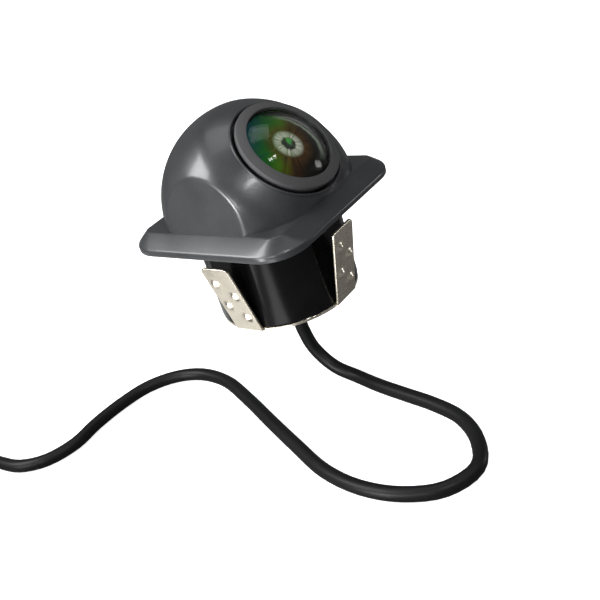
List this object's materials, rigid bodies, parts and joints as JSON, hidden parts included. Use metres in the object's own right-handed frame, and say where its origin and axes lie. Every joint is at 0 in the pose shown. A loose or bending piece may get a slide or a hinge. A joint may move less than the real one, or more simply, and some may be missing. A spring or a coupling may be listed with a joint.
{
  "type": "flush mount backup camera",
  "caption": "Flush-mount backup camera: tilted fisheye lens in a domed square flange, round barrel with sheet-metal spring leaves, and a cable with a round screw plug.",
  "frame": {"origin": "on the barrel's axis, in the plane of the flange's underside, which rests on the vehicle panel", "axes": "+Z along the barrel's axis, out of the panel towards the dome; the lens looks towards -Y and 44.5 degrees up from the panel; +X to the side, parallel to a flange edge"},
  "size_m": [0.0925, 0.1188, 0.0527],
  "materials": {
    "cast_housing": "satin gunmetal paint on die-cast metal, fine grain",
    "retainer": "matt dark grey",
    "lens_tube": "matt black",
    "front_glass": "coated optical glass, green and brown reflections",
    "inner_glass": "coated optical glass",
    "rubber": "matt black",
    "black_plastic": "fine-grained black",
    "circuit_board": "green solder mask",
    "chip": "matt black moulding",
    "screws": "zinc plated",
    "flex": "amber film",
    "barrel_finish": "gloss black",
    "can_metal": "plain",
    "nylon": "off-white",
    "red_wire": "plain",
    "black_wire": "plain",
    "yellow_wire": "plain",
    "white_wire": "plain",
    "bracket": "bright nickel plate, slightly warm",
    "cable_jacket": "satin black PVC",
    "contacts": "gold plated",
    "nut_metal": "nickel plate, knurled"
  },
  "bodies": {
    "housing": {"dome_housing": "cast_housing", "lens_retainer_ring": "retainer", "lens_barrel": "lens_tube", "front_lens": "front_glass", "front_lens_seal": "rubber", "second_lens": "inner_glass", "lens_spacer": "lens_tube", "rear_lens_group": "inner_glass", "ir_cut_filter": "inner_glass", "lens_holder": "black_plastic", "sensor_board": "circuit_board", "image_sensor": "chip", "holder_screw_left": "screws", "holder_screw_right": "screws", "board_flex": "flex", "rear_housing": "barrel_finish", "housing_seal": "rubber", "power_board": "circuit_board", "board_screw_1": "screws", "board_screw_2": "screws", "board_screw_3": "screws", "video_chip": "chip", "regulator_chip": "chip", "power_inductor": "chip", "crystal": "can_metal", "filter_capacitor": "can_metal", "cable_socket": "nylon", "cable_plug": "nylon", "cable_grommet": "rubber", "wire_red": "red_wire", "wire_black": "black_wire", "wire_yellow": "yellow_wire", "wire_white": "white_wire", "spring_bracket": "bracket", "bracket_nut": "bracket", "cable": "cable_jacket", "cable_coil": "cable_jacket", "cable_tail": "cable_jacket", "coil_tie": "black_plastic", "plug_boot": "rubber", "plug_shell": "black_plastic", "plug_seal": "rubber", "plug_insert": "black_plastic", "contact_pin_1": "contacts", "contact_pin_2": "contacts", "contact_pin_3": "contacts", "contact_pin_4": "contacts"},
    "leaf_front_body": {"leaf_front": "bracket"},
    "leaf_left_body": {"leaf_left": "bracket"},
    "leaf_back_body": {"leaf_back": "bracket"},
    "leaf_right_body": {"leaf_right": "bracket"},
    "coupling_nut_body": {"coupling_nut": "nut_metal"}
  },
  "joints": [
    {"name": "leaf_front_flex", "type": "hinge", "parent": "housing", "child": "leaf_front_body", "pos_m": [0, -0.0119, -0.0161], "axis": [-1, 0, 0], "range_deg": [0, 13.5], "stiffness_Nm_per_rad": 0.6},
    {"name": "leaf_left_flex", "type": "hinge", "parent": "housing", "child": "leaf_left_body", "pos_m": [-0.0119, 0, -0.0161], "axis": [0, 1, 0], "range_deg": [0, 13.5], "stiffness_Nm_per_rad": 0.6},
    {"name": "leaf_back_flex", "type": "hinge", "parent": "housing", "child": "leaf_back_body", "pos_m": [0, 0.0119, -0.0161], "axis": [1, 0, 0], "range_deg": [0, 13.5], "stiffness_Nm_per_rad": 0.6},
    {"name": "leaf_right_flex", "type": "hinge", "parent": "housing", "child": "leaf_right_body", "pos_m": [0.0119, 0, -0.0161], "axis": [0, -1, 0], "range_deg": [0, 13.5], "stiffness_Nm_per_rad": 0.6},
    {"name": "coupling_nut_turn", "type": "hinge", "parent": "housing", "child": "coupling_nut_body", "pos_m": [-0.0682, 0.03, -0.0269], "axis": [0, -1, 0], "continuous": true}
  ]
}
